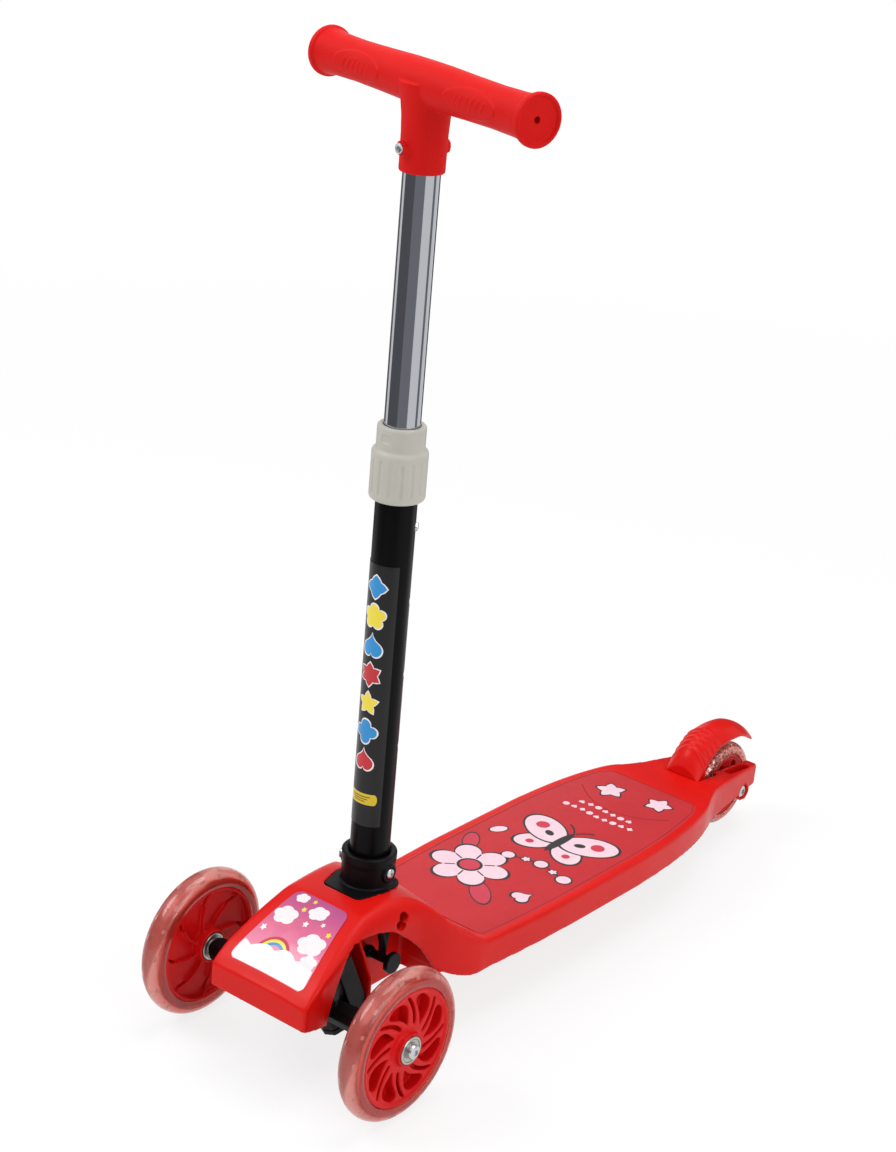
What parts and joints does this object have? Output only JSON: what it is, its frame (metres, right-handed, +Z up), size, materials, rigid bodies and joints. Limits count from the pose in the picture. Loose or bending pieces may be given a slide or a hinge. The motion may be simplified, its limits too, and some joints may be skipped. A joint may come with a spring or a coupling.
{
  "type": "three wheel kids scooter",
  "caption": "Lean-to-steer kids kick scooter with clear front and rear wheels, a moulded deck and nose, a height adjustable stem, a T-handle and a foot brake over the rear wheel.",
  "frame": {"origin": "on the ground below the middle of the overall bounding box", "axes": "+Z up along the stem, +Y from the nose to the rear wheel, +X to the rider's left"},
  "size_m": [0.246, 0.68, 0.7516],
  "materials": {
    "red_shell": "red moulded plastic with a soft gloss",
    "black_moulding": "black moulded plastic",
    "black_paint": "gloss black paint on steel tube",
    "chrome_tube": "bright plated steel tube",
    "zinc_fastener": "zinc plated steel",
    "bright_steel": "bare steel",
    "grey_collar": "warm light grey plastic",
    "clear_tyre": "clear polyurethane over a red band",
    "lamp_metal": "small grey magnets and lamps on a band",
    "mat_print": "printed soft mat in red with black, white and pink figures",
    "label_print": "printed film in pink, black and yellow"
  },
  "bodies": {
    "root": {"deck_shell": "red_shell", "deck_mat": "mat_print", "nose_label": "label_print", "steering_bridge": "black_moulding", "bridge_screw_left": "zinc_fastener", "bridge_screw_right": "zinc_fastener", "kingpin_left": "zinc_fastener", "kingpin_right": "zinc_fastener", "centring_spring_left": "bright_steel", "centring_spring_right": "bright_steel", "lean_stop_left": "black_moulding", "lean_stop_right": "black_moulding", "stem_base": "black_moulding", "stem_bolt": "zinc_fastener", "base_bolt": "zinc_fastener", "base_nut": "zinc_fastener", "outer_tube": "black_paint", "stem_label": "label_print", "tube_bush": "grey_collar", "axle_bolt_rear": "zinc_fastener", "axle_nut_rear": "zinc_fastener", "brake_pin": "zinc_fastener", "brake_spring": "bright_steel", "tail_plate": "black_moulding", "tail_screw_left": "zinc_fastener", "tail_screw_right": "zinc_fastener"},
    "knuckle_left_body": {"knuckle_left": "black_moulding", "tie_pin_left": "zinc_fastener", "axle_bolt_left": "zinc_fastener"},
    "knuckle_right_body": {"knuckle_right": "black_moulding", "tie_pin_right": "zinc_fastener", "axle_bolt_right": "zinc_fastener"},
    "tie_rod_body": {"tie_rod": "bright_steel"},
    "wheel_left": {"hub_left": "red_shell", "tyre_left": "clear_tyre", "light_ring_left": "lamp_metal", "bearing_outer_left": "bright_steel", "bearing_inner_left": "bright_steel", "axle_sleeve_left": "bright_steel"},
    "wheel_right": {"hub_right": "red_shell", "tyre_right": "clear_tyre", "light_ring_right": "lamp_metal", "bearing_outer_right": "bright_steel", "bearing_inner_right": "bright_steel", "axle_sleeve_right": "bright_steel"},
    "wheel_rear": {"hub_rear": "red_shell", "tyre_rear": "clear_tyre", "bearing_rear_left": "bright_steel", "bearing_rear_right": "bright_steel", "axle_sleeve_rear": "bright_steel"},
    "collar_body": {"clamp_collar": "grey_collar"},
    "handle_body": {"inner_tube": "chrome_tube", "t_handle": "red_shell", "handle_bolt": "zinc_fastener", "handle_nut": "zinc_fastener", "snap_clip": "bright_steel"},
    "button_body": {"snap_button": "zinc_fastener"},
    "brake_body": {"brake_cover": "red_shell", "brake_pad": "bright_steel"}
  },
  "joints": [
    {"name": "steer_left", "type": "hinge", "parent": "root", "child": "knuckle_left_body", "pos_m": [0.031, -0.28, 0.06], "axis": [0, -0.4384, 0.8988], "range_deg": [-15, 15], "stiffness_Nm_per_rad": 4, "deforming": ["centring_spring_left", "centring_spring_right"]},
    {"name": "steer_right", "type": "hinge", "parent": "root", "child": "knuckle_right_body", "pos_m": [-0.031, -0.28, 0.06], "axis": [0, -0.4384, 0.8988], "range_deg": [-15, 15], "stiffness_Nm_per_rad": 4},
    {"name": "tie_rod_swing", "type": "hinge", "parent": "knuckle_left_body", "child": "tie_rod_body", "pos_m": [0.031, -0.30696, 0.06053], "axis": [0, -0.4384, 0.8988], "range_deg": [-15, 15]},
    {"name": "wheel_left_spin", "type": "hinge", "parent": "knuckle_left_body", "child": "wheel_left", "pos_m": [0.1, -0.28, 0.06], "axis": [1, 0, 0], "continuous": true},
    {"name": "wheel_right_spin", "type": "hinge", "parent": "knuckle_right_body", "child": "wheel_right", "pos_m": [-0.1, -0.28, 0.06], "axis": [1, 0, 0], "continuous": true},
    {"name": "wheel_rear_spin", "type": "hinge", "parent": "root", "child": "wheel_rear", "pos_m": [0, 0.3, 0.04], "axis": [1, 0, 0], "continuous": true},
    {"name": "brake_press", "type": "hinge", "parent": "root", "child": "brake_body", "pos_m": [0, 0.242, 0.061], "axis": [-1, 0, 0], "range_deg": [0, 8], "stiffness_Nm_per_rad": 3, "springref_deg": -5.73, "deforming": ["brake_spring"]},
    {"name": "collar_twist", "type": "hinge", "parent": "root", "child": "collar_body", "pos_m": [0, -0.20605, 0.46], "axis": [0, 0, 1], "range_deg": [-90, 0]},
    {"name": "height_slide", "type": "slide", "parent": "root", "child": "handle_body", "axis": [0, 0, 1], "range_m": [-0.175, 0], "deforming": ["snap_clip", "snap_button"]},
    {"name": "button_press", "type": "slide", "parent": "handle_body", "child": "button_body", "axis": [-0.788, -0.6157, 0], "range_m": [0, 0.004], "stiffness_N_per_m": 800, "springref_m": -0.004, "deforming": ["snap_clip"]}
  ],
  "couplings": [
    {"joint": "steer_right", "follows": "steer_left", "ratio": 1},
    {"joint": "tie_rod_swing", "follows": "steer_left", "ratio": -1}
  ]
}
